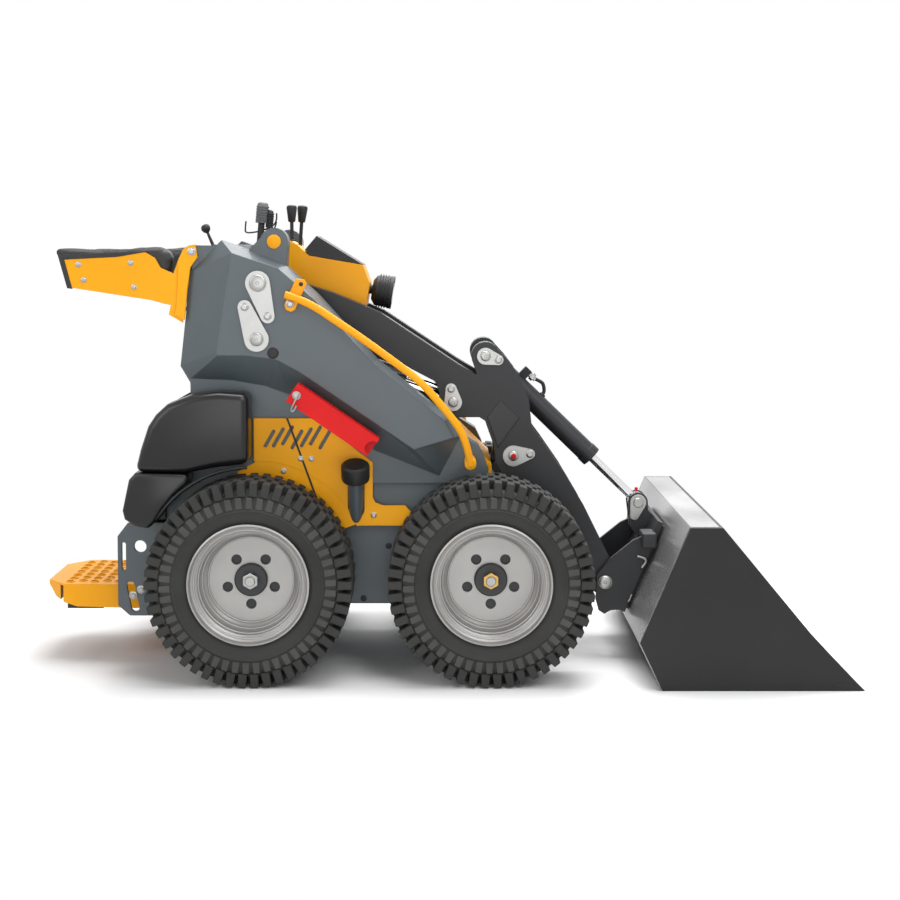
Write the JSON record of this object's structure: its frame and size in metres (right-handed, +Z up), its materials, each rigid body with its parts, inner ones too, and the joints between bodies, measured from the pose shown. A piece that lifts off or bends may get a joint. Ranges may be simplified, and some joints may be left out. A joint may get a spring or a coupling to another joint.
{
  "type": "skid steer loader",
  "caption": "Compact stand-on skid steer loader on wheels with a lift boom between flared towers, a hydraulic bucket and a rear operator platform.",
  "frame": {"origin": "on the ground, under the middle of the machine's length and width", "axes": "+X forward to the bucket, +Y to the machine's left, +Z up"},
  "size_m": [2.356, 1.04, 1.3661],
  "materials": {
    "paint_grey": "satin",
    "paint_dark": "satin",
    "paint_yellow": "gloss",
    "paint_red": "gloss",
    "rim_silver": "satin",
    "tyre_rubber": "matte",
    "soft_black": "matte",
    "cover_black": "matte",
    "cast_dark": "matte",
    "pin_steel": "satin",
    "rod_chrome": "polished"
  },
  "bodies": {
    "chassis": {"chassis": "paint_grey", "engine": "cast_dark", "wheel_motors": "cast_dark", "tower_right": "paint_grey", "tower_left": "paint_grey", "tower_pins": "pin_steel", "tower_lock_plates": "pin_steel", "side_panel_right": "paint_yellow", "side_panel_left": "paint_yellow", "fender_right": "cover_black", "fender_left": "cover_black", "rear_hood": "cover_black", "console": "paint_grey", "centre_column": "paint_grey", "cowl": "paint_yellow", "cowl_lid": "cover_black", "work_lamp": "cover_black", "joystick": "cover_black", "levers": "cover_black", "throttle_lever": "cover_black", "hip_rest_right": "paint_yellow", "hip_rest_left": "paint_yellow", "hip_pad_right": "soft_black", "hip_pad_left": "soft_black", "platform": "paint_yellow", "platform_buffer": "soft_black", "guard_rail_right": "paint_yellow", "guard_rail_left": "paint_yellow", "safety_strut": "paint_red", "fuel_filler": "cover_black", "front_panel": "paint_yellow"},
    "wheel_rear_right": {"tyre_rear_right": "tyre_rubber", "rim_rear_right": "rim_silver", "hub_rear_right": "cast_dark"},
    "wheel_rear_left": {"tyre_rear_left": "tyre_rubber", "rim_rear_left": "rim_silver", "hub_rear_left": "cast_dark"},
    "wheel_front_right": {"tyre_front_right": "tyre_rubber", "rim_front_right": "rim_silver", "hub_front_right": "cast_dark"},
    "wheel_front_left": {"tyre_front_left": "tyre_rubber", "rim_front_left": "rim_silver", "hub_front_left": "cast_dark"},
    "boom": {"boom_arm_right": "paint_dark", "boom_arm_left": "paint_dark", "boom_cross_tubes": "paint_dark", "boom_pins": "pin_steel", "boom_lock_plates": "pin_steel"},
    "lift_cylinder_right": {"lift_barrel_right": "paint_dark"},
    "lift_piston_right": {"lift_rod_right": "rod_chrome"},
    "lift_cylinder_left": {"lift_barrel_left": "paint_dark"},
    "lift_piston_left": {"lift_rod_left": "rod_chrome"},
    "tilt_cylinder": {"tilt_barrel": "paint_dark"},
    "tilt_piston": {"tilt_rod": "rod_chrome"},
    "bucket_tool": {"coupler": "paint_dark", "coupler_pins": "pin_steel", "bucket": "paint_dark", "bucket_edge": "paint_dark"}
  },
  "joints": [
    {"name": "wheel_rear_right_spin", "type": "hinge", "parent": "chassis", "child": "wheel_rear_right", "pos_m": [-0.538, -0.4, 0.29], "axis": [0, 1, 0], "continuous": true},
    {"name": "wheel_rear_left_spin", "type": "hinge", "parent": "chassis", "child": "wheel_rear_left", "pos_m": [-0.538, 0.4, 0.29], "axis": [0, 1, 0], "continuous": true},
    {"name": "wheel_front_right_spin", "type": "hinge", "parent": "chassis", "child": "wheel_front_right", "pos_m": [0.141, -0.4, 0.29], "axis": [0, 1, 0], "continuous": true},
    {"name": "wheel_front_left_spin", "type": "hinge", "parent": "chassis", "child": "wheel_front_left", "pos_m": [0.141, 0.4, 0.29], "axis": [0, 1, 0], "continuous": true},
    {"name": "boom_lift", "type": "hinge", "parent": "chassis", "child": "boom", "pos_m": [-0.521, 0, 1.128], "axis": [0, -1, 0], "range_deg": [0, 80]},
    {"name": "bucket_tilt", "type": "hinge", "parent": "boom", "child": "bucket_tool", "pos_m": [0.489, 0, 0.235], "axis": [0, 1, 0], "range_deg": [-25, 70]},
    {"name": "lift_right_swing", "type": "hinge", "parent": "chassis", "child": "lift_cylinder_right", "pos_m": [-0.525, -0.125, 0.968], "axis": [0, -1, 0], "range_deg": [0, 75]},
    {"name": "lift_right_slide", "type": "slide", "parent": "lift_cylinder_right", "child": "lift_piston_right", "axis": [0.9435, 0, -0.3313], "range_m": [0, 0.196]},
    {"name": "lift_left_swing", "type": "hinge", "parent": "chassis", "child": "lift_cylinder_left", "pos_m": [-0.525, 0.125, 0.968], "axis": [0, -1, 0], "range_deg": [0, 75]},
    {"name": "lift_left_slide", "type": "slide", "parent": "lift_cylinder_left", "child": "lift_piston_left", "axis": [0.9435, 0, -0.3313], "range_m": [0, 0.196]},
    {"name": "tilt_swing", "type": "hinge", "parent": "boom", "child": "tilt_cylinder", "pos_m": [0.132, 0, 0.908], "axis": [0, 1, 0], "range_deg": [-1, 2.5]},
    {"name": "tilt_slide", "type": "slide", "parent": "tilt_cylinder", "child": "tilt_piston", "axis": [0.7177, 0, -0.6963], "range_m": [-0.095, 0.263]}
  ],
  "couplings": [
    {"joint": "lift_right_swing", "follows": "boom_lift", "ratio": 0.9297},
    {"joint": "lift_right_slide", "follows": "boom_lift", "m_per_rad": 0.13927},
    {"joint": "lift_left_swing", "follows": "boom_lift", "ratio": 0.9297},
    {"joint": "lift_left_slide", "follows": "boom_lift", "m_per_rad": 0.13927},
    {"joint": "tilt_swing", "follows": "bucket_tilt", "ratio": 0.03},
    {"joint": "tilt_slide", "follows": "bucket_tilt", "m_per_rad": 0.214}
  ]
}
